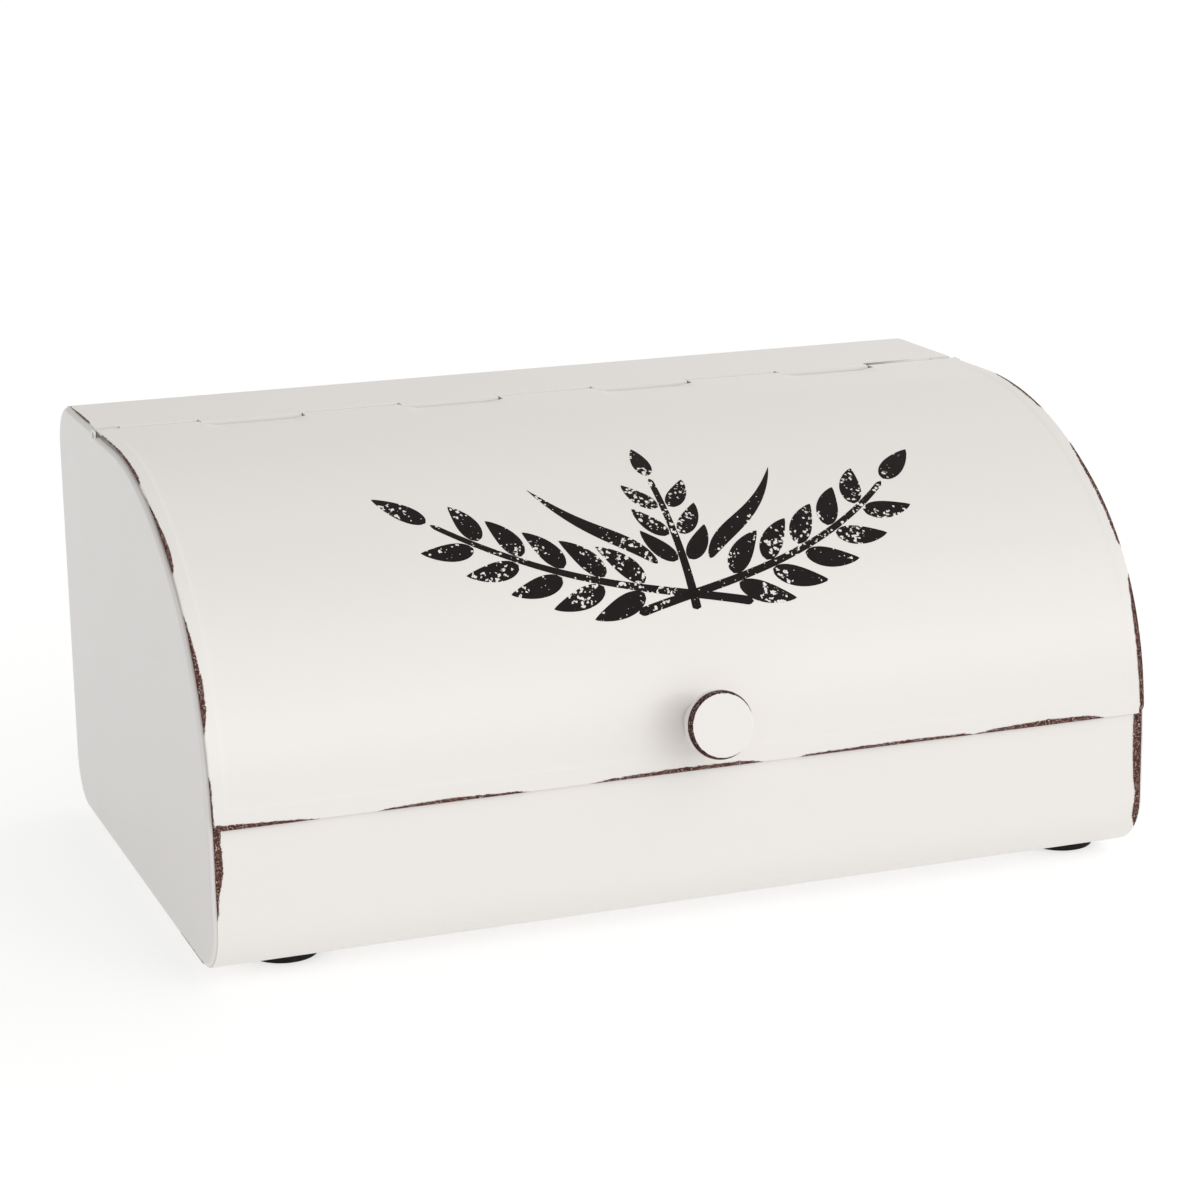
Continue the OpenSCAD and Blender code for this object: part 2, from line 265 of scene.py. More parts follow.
def sheet_piece(name, s_lines, x_lines, present, spot, worn, **where):
    """A closed sheet over the cells of a grid. spot(x, s, side) gives a point of a face."""
    points, margins, index = [], [], {}

    def corner(i, j, side):
        key = (i, j, side)
        if key not in index:
            p = spot(x_lines[j], s_lines[i], side)
            other = index.get((i, j, 1 - side))
            if other is not None and (points[other] - p).length < 1e-7:
                index[key] = other
            else:
                index[key] = len(points)
                points.append(p)
                margins.append(worn(x_lines[j], s_lines[i], side))
        return index[key]

    cells = {
        (i, j)
        for i in range(len(s_lines) - 1)
        for j in range(len(x_lines) - 1)
        if present((x_lines[j] + x_lines[j + 1]) / 2, (s_lines[i] + s_lines[i + 1]) / 2)
    }
    faces = []
    for i, j in sorted(cells):
        ring = [(i, j), (i, j + 1), (i + 1, j + 1), (i + 1, j)]
        faces.append([corner(a, b, 0) for a, b in ring])
        faces.append([corner(a, b, 1) for a, b in reversed(ring)])
        beside = [(i - 1, j), (i, j + 1), (i + 1, j), (i, j - 1)]
        for k, cell in enumerate(beside):
            if cell in cells:
                continue
            p, q = ring[k], ring[(k + 1) % 4]
            wall = [corner(*q, 0), corner(*p, 0), corner(*p, 1), corner(*q, 1)]
            if len(set(wall)) == 4:
                faces.append(wall)
    return new_piece(name, points, faces, margins, **where)


def along(spots, v):
    """The width at v of a wear line given as (position, width) pairs."""
    if v <= spots[0][0]:
        return spots[0][1]
    for (a, wa), (b, wb) in zip(spots, spots[1:]):
        if v <= b:
            return wa + (wb - wa) * (v - a) / (b - a)
    return spots[-1][1]


# Margins of places that are never worn, and always.
NO_WEAR = -9.0
BARE = 3.0


def knuckle_at(x):
    """The number of the knuckle at x, counted from the left, and the distance from its side."""
    k = math.floor((x + LID_HALF) / PITCH)
    return k, (x + LID_HALF) - k * PITCH


# ---- Lid -----------------------------------------------------------------------------------

# Worn widths along the lid's edges: (distance from the lower edge or from the middle, width).
# On the left edge, the lowest stretch up to 26 mm also stands for the shadowed gap beside the side panel. It
# is partly worn paint and partly painted shade.
LID_LEFT_WEAR_AND_SHADE = [
    (0, 1.0), (6, 0.7), (21, 0.7), (26, -1), (36, -1), (41, 0.7), (48, 2.1), (60, 2.5), (75, 1.5),
    (90, 0.2), (96, -1), (108, -1), (112, 0.8), (118, 1.8), (126, 2.0), (145, 0.9), (161, 0.1),
    (168, -0.8), (173, 0.7), (180, 1.1), (212, 0.7), (218, 0.5), (246, 0.5), (252, -1),
]
LID_RIGHT_WEAR = [
    (0, 2.4), (20, 2.8), (45, 2.6), (60, 1.4), (65, -0.8), (73, -0.8), (78, 1.5), (100, 2.2), (122, 2.0),
    (136, 1.2), (141, -1), (162, -1), (168, 1.4), (190, 2.0), (212, 1.4), (219, -1),
]
LID_BOTTOM_WEAR = [
    (-211, 2.4), (-203, 2.4), (-192, 1.9), (-178, 1.3), (-168, 0.5), (-163, -0.8), (-146, -0.6), (-139, 1.0),
    (-112, 1.9), (-82, 1.1), (-74, -0.4), (-52, -0.3), (-44, 1.2), (-12, 2.2), (20, 1.7), (30, -0.5),
    (42, -0.3), (48, 1.1), (90, 1.7), (122, 1.3), (128, 0.1), (134, 1.6), (162, 2.7), (184, 2.2),
    (190, 0.5), (193, -0.7), (206, -0.7), (211, 0.8),
]

# Relief of the outer face: the dips before the fixed knuckles, the step over the hems and the
# ripple. The face lies lower by the sink and the clearance, so that nothing passes its box.
DIP_DEPTH, DIP_LENGTH, DIP_BLEND = 0.9, 16, 7
HEM_STEP, HEM_BLEND = 0.12, 1.4
RIPPLE = 0.03
LID_SINK, LID_CLEAR = 0.15, 0.02
FLAT_TOP = 30
ROLL_MOUTH = 1.5
INNER_LESS = 0.6


def ease(v):
    """A smooth step from 0 to 1 as v goes from 0 to 1."""
    v = max(0.0, min(1.0, v))
    return v * v * (3 - 2 * v)


def lid_dip(x, s):
    """How far the sheet is pressed down in front of each fixed knuckle, in mm."""
    k, side = knuckle_at(x)
    if k % 2 == 0 or s > LID_NOTCH_S + TINY:
        return 0.0
    sides = ease(side / DIP_BLEND) * ease((PITCH - side) / DIP_BLEND)
    return DIP_DEPTH * ease((s - LID_NOTCH_S) / DIP_LENGTH + 1) * sides


def lid_lift(x, s):
    """Small unevenness of the pressed sheet, and the step over the folded hems, in mm."""
    hem = min(LID_HALF - abs(x) - SIDE_HEM, s - BOTTOM_HEM)
    step = HEM_STEP * ease(0.5 - hem / HEM_BLEND)
    ripple = RIPPLE * noise.noise(Vector((x / 75, s / 60, 3.1)))
    fade = max(0.0, min(1.0, (LID_NOTCH_S - s) / FLAT_TOP))
    return (step + ripple - LID_SINK) * fade - LID_CLEAR - lid_dip(x, s)


def lid_knuckle(x):
    """Whether the lid has a knuckle there, with play beside the fixed ones."""
    k, side = knuckle_at(x)
    from_left = side > PLAY / 2 or k == 0
    from_right = side < PITCH - PLAY / 2 or k == KNUCKLES - 1
    return k % 2 == 0 and from_left and from_right


def lid_grid(x, s):
    """Rounds the lower corners of the lid's grid, and gives the distance from its edge."""
    a, b = LID_HALF - abs(x), s
    m = min(a, b)
    if a < CORNER_R and b < CORNER_R:
        span = CORNER_R - m
        t = 0.5 * (CORNER_R - b) / span if a <= b else 1 - 0.5 * (CORNER_R - a) / span
        a = CORNER_R - span * math.cos(t * math.pi / 2)
        b = CORNER_R - span * math.sin(t * math.pi / 2)
    return math.copysign(LID_HALF - a, x), b, m


def lid_spot(x, s, side):
    """A point of the lid's outer face (side 0) or inner face (side 1), rounded at the folds."""
    if s > LID_NOTCH_S + TINY:
        return lid_path.point(x, s, side * SHEET)
    gx, gs, m = lid_grid(x, s)
    fold = SHEET - math.sqrt(max(0.0, SHEET**2 - max(0.0, SHEET - m) ** 2))
    if side == 0:
        lift = lid_lift(gx, gs) if m >= SHEET else lid_lift(gx, gs) * m / SHEET
        return lid_path.point(gx, gs, fold - lift)
    hem = LID_HALF - abs(x) < SIDE_HEM - TINY or s < BOTTOM_HEM - TINY
    if s > LID_NOTCH_S - TINY or not hem:
        return lid_path.point(gx, gs, SHEET + lid_dip(gx, gs))
    return lid_path.point(gx, gs, 2 * SHEET - fold)


def lid_worn(x, s, side):
    """Worn along the edges as the tables say, with some painted shade at the left edge's lower end, and bare
    inside the rolled knuckles.
    """
    if s > LID_NOTCH_S - TINY:
        return BARE if side == 1 and s > LID_ROLL_S + ROLL_MOUTH else NO_WEAR
    edge = LID_LEFT_WEAR_AND_SHADE if x < 0 else LID_RIGHT_WEAR
    margin = max(along(edge, s) - LID_HALF + abs(x), along(LID_BOTTOM_WEAR, x) - s, NO_WEAR)
    return margin - INNER_LESS * side


fold_lines = [SHEET * (1 - math.cos(math.radians(a))) for a in range(0, 91, 15)]
edge_lines = fold_lines + [1.0, 1.4, 1.9, 2.5, 3.2, CORNER_R, 5.0]
side_lines = edge_lines + [SIDE_HEM - 0.6, SIDE_HEM - 0.04, SIDE_HEM, SIDE_HEM + 0.6, 8.0, 11.0]
bottom_lines = edge_lines + [6.0, BOTTOM_HEM - 0.6, BOTTOM_HEM - 0.04, BOTTOM_HEM, BOTTOM_HEM + 0.6, 11.0]
knuckle_lines = [
    -LID_HALF + k * PITCH + side * (PLAY / 2) for k in range(1, KNUCKLES) for side in (-1, 1)
]
lid_x_lines = sorted_lines(
    [LID_HALF - d for d in side_lines],
    [d - LID_HALF for d in side_lines],
    knuckle_lines,
    [x + d for x in knuckle_lines[::2] for d in (-5.5, 5.5)],
    between(-LID_HALF + 14, LID_HALF - 14, 5.0),
)
lid_s_lines = sorted_lines(
    bottom_lines,
    [s for s in lid_path.lines(3.0, 3.0, 0, 4) if s > 12.5],
    lid_path.lines(2.5, 15.0, 4),
)


def make_lid():
    """The lid's sheet, with its hems folded under and its back edge rolled into knuckles."""
    lid = sheet_piece(
        "lid_sheet", lid_s_lines, lid_x_lines,
        lambda x, s: s < LID_NOTCH_S or lid_knuckle(x),
        lid_spot, lid_worn, body="lid", slot="painted_lid", nodes=["lid"],
    )
    soften(lid, 0.2)
    return lid


# ---- Wrapped body --------------------------------------------------------------------------

# Worn widths at the front strip's ends by height, and at the top's left edge by depth.
STRIP_LEFT_WEAR = [
    (24, -1), (28, 0.7), (34, 0.9), (36, 1.2), (40, 1.9), (46, 3.3), (54, 3.5), (58, 2.3),
    (61, 3.1), (70, 3.0),
]
STRIP_RIGHT_WEAR = [
    (9, -1), (13, 1.6), (18, 3.4), (24, 3.2), (27, 2.4), (36, 4.0), (56, 4.6), (70, 4.2),
]
TOP_LEFT_WEAR = [(198, -2), (203, 0.6), (212, 1.0), (232, 1.0), (240, 0.4), (247, 0.5), (254, -1.5)]

# The turned-down edge stops short of the flanges. In the gape it lies further back and higher.
LIP_HALF = PANEL_X - FLANGE - 1
GAPE_BLEND = 8
GAPE_BACK, GAPE_RISE = 2.0, 0.46
WRAP_SINK = 0.03


def wrap_worn(x, s, side):
    """Worn at both ends of the front strip and at the left end of the top."""
    a = WRAP_HALF - abs(x)
    y, z, heading = wrap_path.at(s)
    margin = -a - 0.5
    if y < 20 and z < 90:
        margin = along(STRIP_LEFT_WEAR if x < 0 else STRIP_RIGHT_WEAR, z) - a
    elif x < 0 and z > 175 and s > LIP_S - 3:
        margin = along(TOP_LEFT_WEAR, y) - a
    return max(margin - 1.5 * side, NO_WEAR)


def wrap_knuckle(x):
    """Whether the body has a fixed knuckle there."""
    k, side = knuckle_at(x)
    return k % 2 == 1 and PLAY / 2 - TINY < side < PITCH - PLAY / 2 + TINY


def on_lip(x, s):
    """Whether the turned-down edge is there: behind the lid's knuckles, between the flanges."""
    return s > LIP_S - lip_path.marks[-1] and abs(x) < LIP_HALF and lid_knuckle(x)


def behind_slit(x, s, side):
    """The sheet's edge behind the lid's knuckles, turned down, with a gape near the right end."""
    p = lip_path.point(x, s - LIP_S + lip_path.marks[-1], side * SHEET)
    gape = 0.0
    if x > GAPE_START - 1:
        gape = ease((GAPE_END - x) / GAPE_BLEND) * (GAPE_END - x) / (GAPE_END - GAPE_START)
    p.y += GAPE_BACK * gape * MM
    top = (BODY_H + SHELL_Z) * MM
    p.z = top - (top - p.z) * (1 - GAPE_RISE * gape)
    return p


def wrap_spot(x, s, side):
    """A point of the body sheet's outer face (side 0) or inner face (side 1)."""
    if s < LIP_S - TINY and not wrap_knuckle(x):
        return behind_slit(x, s, side)
    ripple = RIPPLE * noise.noise(Vector((x / 90, s / 80, 7.7))) - WRAP_SINK
    flat = s > LIP_S + 10 and s < wrap_path.marks[8]
    return wrap_path.point(x, s, side * SHEET - (ripple if flat and side == 0 else 0.0))


wrap_edge_lines = [0.0, 0.5, 1.0, 1.5, 2.0, 2.6, 3.3, 4.2, 5.5, 8.0, 11.0]
wrap_x_lines = sorted_lines(
    [WRAP_HALF - d for d in wrap_edge_lines],
    [d - WRAP_HALF for d in wrap_edge_lines],
    knuckle_lines,
    [-LIP_HALF, LIP_HALF],
    between(-WRAP_HALF + 16, WRAP_HALF - 16, 6.0),
)
wrap_s_lines = sorted_lines(
    [s for s in wrap_path.lines(2.5, 15.0, 0, 1) if s < LIP_S - 3],
    [LIP_S - d for d in between(0, lip_path.marks[-1], 0.3)],
    [s for s in wrap_path.lines(5.0, 6.0, 2) if s > LIP_S + 1],
)


def make_wrap():
    """The body's sheet: top strip with four knuckles, back, floor and front strip."""
    wrap = sheet_piece(
        "body_sheet", wrap_s_lines, wrap_x_lines,
        lambda x, s: s > LIP_S or wrap_knuckle(x) or on_lip(x, s),
        wrap_spot, wrap_worn, body="box", slot="painted_body", nodes=["body_wrap"],
    )
    soften(wrap, 0.25)
    return wrap


# ---- End panels ----------------------------------------------------------------------------


# A distance from the edge that no worn line reaches, for the inner faces.
UNWORN_D = 9.0


def panel_section():
    """(depth under the sheet's outer face, x, worn distance) of the panel's outer face."""
    rows = [(SHEET, PANEL_X - FLANGE, -5.0), (SHEET, PANEL_X - 6.0, -3.0)]
    for a in range(0, 91, 15):
        turn = math.radians(a)
        depth = SHEET + PANEL_BEND * (1 - math.cos(turn))
        rows.append((depth, PANEL_X - PANEL_BEND * (1 - math.sin(turn)), PANEL_BEND * turn))
    for depth in (3.4, 4.2, 5.2, 6.5, 8.5):
        rows.append((depth, PANEL_X, depth + 0.45))
    return rows


def panel_back(row):
    """The same point of the panel's inner face."""
    depth, x, d = row
    bend = SHEET + PANEL_BEND
    if x <= PANEL_X - PANEL_BEND:
        return depth + SHEET, x
    if depth >= bend:
        return depth, x - SHEET
    y, z = bend - depth, x - (PANEL_X - PANEL_BEND)
    scale = (PANEL_BEND - SHEET) / PANEL_BEND
    return bend - y * scale, PANEL_X - PANEL_BEND + z * scale


def ear_outline(bottom_z, front_y, back_y):
    """The ear that holds the hinge pin, above the plate and between the flange's ends."""
    reach = math.sqrt(EAR_R**2 - EAR_TOP**2)
    a = math.atan2(EAR_TOP, reach)
    b = math.pi - a
    points = [(back_y, bottom_z)]
    for k in range(7):
        t = a * k / 6
        points.append((HINGE_Y + EAR_R * math.cos(t), AXIS_Z + EAR_R * math.sin(t)))
    for k in range(7):
        t = b + (math.pi - b) * k / 6
        points.append((HINGE_Y + EAR_R * math.cos(t), AXIS_Z + EAR_R * math.sin(t)))
    points.append((front_y, bottom_z))
    return points


def make_panel(name, mirror, node, wear):
    """An end panel: the flange, bend and rim swept round the outline, a plate and the ear."""
    mesh = bmesh.new()
    worn = mesh.verts.layers.float.new("worn")
    stations = sorted_lines(panel_path.lines(5.0, 6.0))
    section = panel_section()

    def vertex(x, y, z, margin):
        v = mesh.verts.new(place(x * mirror, y, z))
        v[worn] = margin
        return v

    def swept(s, depth, x, d):
        y, z, heading = panel_path.at(s)
        a = math.radians(heading)
        margin = max(wear(y, z, d), NO_WEAR)
        return vertex(x, y + depth * math.sin(a), z - depth * math.cos(a), margin)

    outer = [[swept(s, *row) for row in section] for s in stations]
    inner = [[swept(s, *panel_back(row), UNWORN_D) for row in section] for s in stations]
    last = len(section) - 1
    for i in range(len(stations) - 1):
        for k in range(last):
            mesh.faces.new([outer[i][k], outer[i + 1][k], outer[i + 1][k + 1], outer[i][k + 1]])
            mesh.faces.new([inner[i][k + 1], inner[i + 1][k + 1], inner[i + 1][k], inner[i][k]])
        mesh.faces.new([inner[i][0], inner[i + 1][0], outer[i + 1][0], outer[i][0]])
    for i, flip in ((0, False), (len(stations) - 1, True)):
        for k in range(last):
            cap = [outer[i][k], outer[i][k + 1], inner[i][k + 1], inner[i][k]]
            if (outer[i][k].co - outer[i][k + 1].co).length > 1e-7:
                mesh.faces.new(cap[::-1] if flip else cap)

    back_y, front_y = HINGE_Y + BARREL_R + SLIT, HINGE_Y - EAR_R
    for grid, x in ((outer, PANEL_X), (inner, PANEL_X - SHEET)):
        loop = [row[last] for row in grid]
        rim = loop + [
            vertex(x, y, z, NO_WEAR)
            for y, z in reversed(ear_outline(AXIS_Z - PANEL_GAP_Z, front_y, back_y))
        ]
        hole = [
            vertex(x, HINGE_Y + PIN_HOLE_R * math.cos(t), AXIS_Z + PIN_HOLE_R * math.sin(t), NO_WEAR)
            for t in (math.tau * k / 24 for k in range(24))
        ]
        edges = []
        for ring in (rim, hole):
            for p, q in zip(ring, ring[1:] + ring[:1]):
                edges.append(mesh.edges.get((p, q)) or mesh.edges.new((p, q)))
        bmesh.ops.triangle_fill(mesh, use_beauty=True, edges=edges, normal=(mirror, 0, 0))
        if grid is outer:
            outer_rim, outer_hole = rim[len(loop):], hole
        else:
            for ring_a, ring_b, closed in ((outer_rim, rim[len(loop):], 0), (outer_hole, hole, 1)):
                n = len(ring_a)
                for k in range(n if closed else n - 1):
                    m = (k + 1) % n
                    mesh.faces.new([ring_a[k], ring_a[m], ring_b[m], ring_b[k]])
    bmesh.ops.recalc_face_normals(mesh, faces=mesh.faces)
    data = bpy.data.meshes.new(name)
    mesh.to_mesh(data)
    mesh.free()
    for polygon in data.polygons:
        polygon.use_smooth = True
    data.set_sharp_from_angle(angle=math.radians(40))
    panel = bpy.data.objects.new(name, data)
    bpy.context.scene.collection.objects.link(panel)
    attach(panel, "box")
    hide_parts(node)
    return panel


def left_panel_wear(y, z, d):
    """A faint scuffed line on the bend along the front of the floor."""
    if z < 8 and 18 < y < 60:
        return 0.5 - abs(d - 2.6)
    return NO_WEAR


def right_panel_wear(y, z, d):
    """The right panel has no worn line."""
    return NO_WEAR


# ---- Knob ----------------------------------------------------------------------------------


def turned_piece(name, profile, worn, axis, **where):
    """A closed turned piece from (radius, height) points, both ends on the axis."""
    sides = 96
    points, margins, faces, rings = [], [], [], []
    for r, h in profile:
        ring = []
        for k in range(1 if r < 1e-6 else sides):
            t = math.tau * k / sides
            points.append(axis @ (Vector((r * math.cos(t), r * math.sin(t), h)) * MM))
            margins.append(worn(r, h, t))
            ring.append(len(points) - 1)
        rings.append(ring)
    for low, high in zip(rings, rings[1:]):
        for k in range(sides):
            m = (k + 1) % sides
            face = [low[k % len(low)], low[m % len(low)], high[m % len(high)], high[k % len(high)]]
            faces.append(list(dict.fromkeys(face)))
    return new_piece(name, points, faces, margins, **where)


def arc_profile(r, h, radius, start, end, n):
    """Points of a profile's rounding about (r, h), angles from the radius outwards."""
    turns = [math.radians(start + (end - start) * k / n) for k in range(n + 1)]
    return [(r + radius * math.cos(t), h + radius * math.sin(t)) for t in turns]


knob_lean = math.degrees(math.asin((KNOB_Z - mid_z) / MID_R))
KNOB_S = lid_path.marks[1] + MID_R * math.radians(knob_lean - LOW_ANGLE)


def knob_axis():
    """The frame on the lid's outer face at the knob: x to the right, z out of the lid."""
    y, z, heading = lid_path.at(KNOB_S)
    a = math.radians(heading)
    out = Vector((0, -math.sin(a), math.cos(a)))
    right = Vector((1, 0, 0))
    up = out.cross(right)
    turn = Matrix((right, up, out)).transposed().to_4x4()
    return Matrix.Translation(place(0, y, z)) @ turn


def knob_profile():
    """The knob's outline from its foot on the lid, along the coved neck, to its flat face."""
    head = KNOB_L - KNOB_HEAD
    rim_r = KNOB_R - KNOB_RIM
    sweep = math.degrees(math.asin(head / 2 / KNOB_COVE_R))
    neck = arc_profile(KNOB_NECK_R + KNOB_COVE_R, head / 2, KNOB_COVE_R, 180 + sweep, 180 - sweep, 16)
    neck = [(min(r, KNOB_BASE_R), h) for r, h in neck]
    profile = [(0, 0), (4.0, 0), (KNOB_BASE_R - 0.3, 0.0)] + neck
    profile += [(9.5, head), (rim_r - 0.8, head)]
    profile += arc_profile(rim_r, head + KNOB_RIM, KNOB_RIM, -90, 0, 6)
    profile += [(KNOB_R, head + KNOB_HEAD / 2)]
    profile += arc_profile(rim_r, KNOB_L - KNOB_RIM, KNOB_RIM, 0, 90, 6)
    profile += [(rim_r - d, KNOB_L) for d in (0.5, 1.1, 1.8, 2.7, 4.5, 8.0)]
    return profile + [(0, KNOB_L)]


# Worn widths round the knob's rim by angle, from the right and upwards.
KNOB_WEAR = [
    (0, -0.3), (20, 0.2), (60, 0.7), (90, 1.0), (120, 1.2), (150, 1.3), (200, 1.2), (240, 0.9),
    (275, 0.5), (300, 0.1), (320, -0.5), (360, -0.3),
]
# Where the wear is measured from: inside the rim's side and below the face.
RIM_INSET, RIM_DEPTH = 0.4, 0.6


def knob_worn(r, h, t):
    """The rim is worn most at the upper left, seen from the front, and least at the right."""
    if h < KNOB_L - KNOB_HEAD:
        return NO_WEAR
    inward = max(0.0, KNOB_R - RIM_INSET - r)
    down = max(0.0, KNOB_L - RIM_DEPTH - h)
    return along(KNOB_WEAR, math.degrees(t) % 360) - math.hypot(inward, 0.8 * down)


# ---- Feet ----------------------------------------------------------------------------------


def foot_profile(radius, height):
    """The foot's outline from the screw hole, round the recess and the rim, to its top."""
    recess_r, recess_h, hole_r, rim = 5.0, 2.6, 1.7, 0.9
    profile = [(hole_r, height), (hole_r, recess_h), (recess_r - 0.3, recess_h)]
    profile += [(recess_r, recess_h - 0.3), (recess_r, 0.4), (recess_r + 0.4, 0.0)]
    profile += [(r, 0.0) for r in (8.0, 11.0)]
    profile += arc_profile(radius - rim, rim, rim, -90, 0, 6)
    profile += [(radius, height - 0.4), (radius - 0.4, height)]
    return profile


def make_foot(node):
    low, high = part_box(node)
    center = (low + high) / 2
    axis = Matrix.Translation((center.x, center.y, low.z))
    profile = foot_profile((high.x - low.x) / 2 / MM, (high.z - low.z) / MM)
    foot = turned_piece(
        "rubber_" + node, profile + profile[:1], lambda r, h, t: NO_WEAR, axis,
        body="box", slot="rubber_foot", nodes=[node],
    )
    return foot


# ---- Wheat print ---------------------------------------------------------------------------

# Half the ink layer's thickness, the kernels' angle to their stem and the print's middle.
INK_LIFT = 0.05
KERNEL_TURN = 36
PRINT_X = 6.0


class Print:
    """Flat shapes laid on the lid's outer face, as one thin closed layer of ink."""

    def __init__(self):
        self.points = []
        self.faces = []

    def spot(self, x, s, height):
        return lid_path.point(x, s, -lid_lift(x, s) - height)

    def ribbon(self, curve, width, across=6):
        """A stroke along curve(t), t from 0 to 1, whose full width at t is width(t)."""
        steps = max(10, round(self.length(curve) / 1.1))
        rows = []
        for i in range(steps + 1):
            t = i / steps
            x, s = curve(t)
            dx, ds = self.heading(curve, t)
            half = max(width(t), 0.12) / 2
            rows.append([
                (x - ds * half * k, s + dx * half * k)
                for k in (2 * j / across - 1 for j in range(across + 1))
            ])
        self.layer(rows)

    def layer(self, rows):
        base = len(self.points)
        n, m = len(rows), len(rows[0])
        for height in (INK_LIFT, -INK_LIFT):
            for row in rows:
                self.points += [self.spot(x, s, height) for x, s in row]

        def at(i, j, low):
            return base + low * n * m + i * m + j

        for i in range(n - 1):
            for j in range(m - 1):
                self.faces.append([at(i, j, 0), at(i + 1, j, 0), at(i + 1, j + 1, 0), at(i, j + 1, 0)])
                self.faces.append([at(i, j + 1, 1), at(i + 1, j + 1, 1), at(i + 1, j, 1), at(i, j, 1)])
        rim = [(i, 0) for i in range(n)] + [(n - 1, j) for j in range(1, m)]
        rim += [(i, m - 1) for i in range(n - 2, -1, -1)] + [(0, j) for j in range(m - 2, 0, -1)]
        for p, q in zip(rim, rim[1:] + rim[:1]):
            self.faces.append([at(*q, 0), at(*p, 0), at(*p, 1), at(*q, 1)])

    @staticmethod
    def length(curve):
        spots = [Vector(curve(k / 20)) for k in range(21)]
        return sum((b - a).length for a, b in zip(spots, spots[1:]))

    @staticmethod
    def heading(curve, t):
        a = Vector(curve(max(0.0, t - 0.01)))
        b = Vector(curve(min(1.0, t + 0.01)))
        d = (b - a).normalized()
        return d.x, d.y


def bezier(*p):
    """A cubic curve through its first and last points."""
    def curve(t):
        u = 1 - t
        w = (u**3, 3 * u * u * t, 3 * u * t * t, t**3)
        return sum(k * q[0] for k, q in zip(w, p)), sum(k * q[1] for k, q in zip(w, p))
    return curve


def grain(t):
    """The outline of a kernel or leaf: round at its foot and pointed at its tip."""
    return math.sin(math.pi * min(1.0, t) ** 0.70) ** 0.75


def kernel(ink, foot, angle, length, width, bow):
    """A bold pointed kernel from its foot, bowed sideways by a length."""
    ux, us = math.cos(angle), math.sin(angle)
    spots = [
        (foot[0] + ux * length * t - us * bow * k, foot[1] + us * length * t + ux * bow * k)
        for t, k in ((0, 0), (0.33, 1), (0.67, 1), (1, 0))
    ]
    ink.ribbon(bezier(*spots), lambda t: width * grain(t), 8)


def ear(ink, stem, first, pairs, length, width):
    """A wheat ear: kernels in pairs along a stem from t = first, and one at its end."""
    for k in range(pairs):
        t = first + (1 - first) * k / pairs
        x, s = stem(t)
        along_x, along_s = ink.heading(stem, t)
        size = length * (1 - 0.03 * k)
        for side in (-1, 1):
            angle = math.atan2(along_s, along_x) + side * math.radians(KERNEL_TURN)
            foot = (x - along_s * side * 2.4, s + along_x * side * 2.4)
            kernel(ink, foot, angle, size, width, side * 1.6)
    x, s = stem(1.0)
    along_x, along_s = ink.heading(stem, 1.0)
    foot = (x + along_x * 2.0, s + along_s * 2.0)
    kernel(ink, foot, math.atan2(along_s, along_x), length, width, 0.0)


def stalk(width):
    """The width of a stem along its length, with round ends."""
    return lambda t: width * min(1.0, math.sqrt(60 * t * (1 - t))) * (1.2 - 0.4 * t)


def make_print():
    """Three wheat ears on crossed stems, with a leaf on either side of the middle one."""
    ink = Print()
    for side in (-1, 1):
        def at(x, s):
            return PRINT_X + side * x, s

        stem = bezier(at(-26, 69), at(14, 80), at(62, 83), at(104, 124))
        ink.ribbon(stem, stalk(3.4))
        ear(ink, stem, 0.37, 5, 26, 9.8)
        leaf = bezier(at(12, 91), at(22, 108), at(40, 108), at(56, 140))
        ink.ribbon(leaf, lambda t: 7.5 * grain(t), 8)
    middle = bezier((PRINT_X, 68), (PRINT_X, 85), (PRINT_X, 105), (PRINT_X, 140))
    ink.ribbon(middle, stalk(3.4))
    ear(ink, middle, 0.42, 3, 21, 8.2)
    return new_piece(
        "wheat_print", ink.points, ink.faces, [NO_WEAR] * len(ink.points),
        body="lid", slot="painted_lid", nodes=[],
    )


# ---- Materials -----------------------------------------------------------------------------


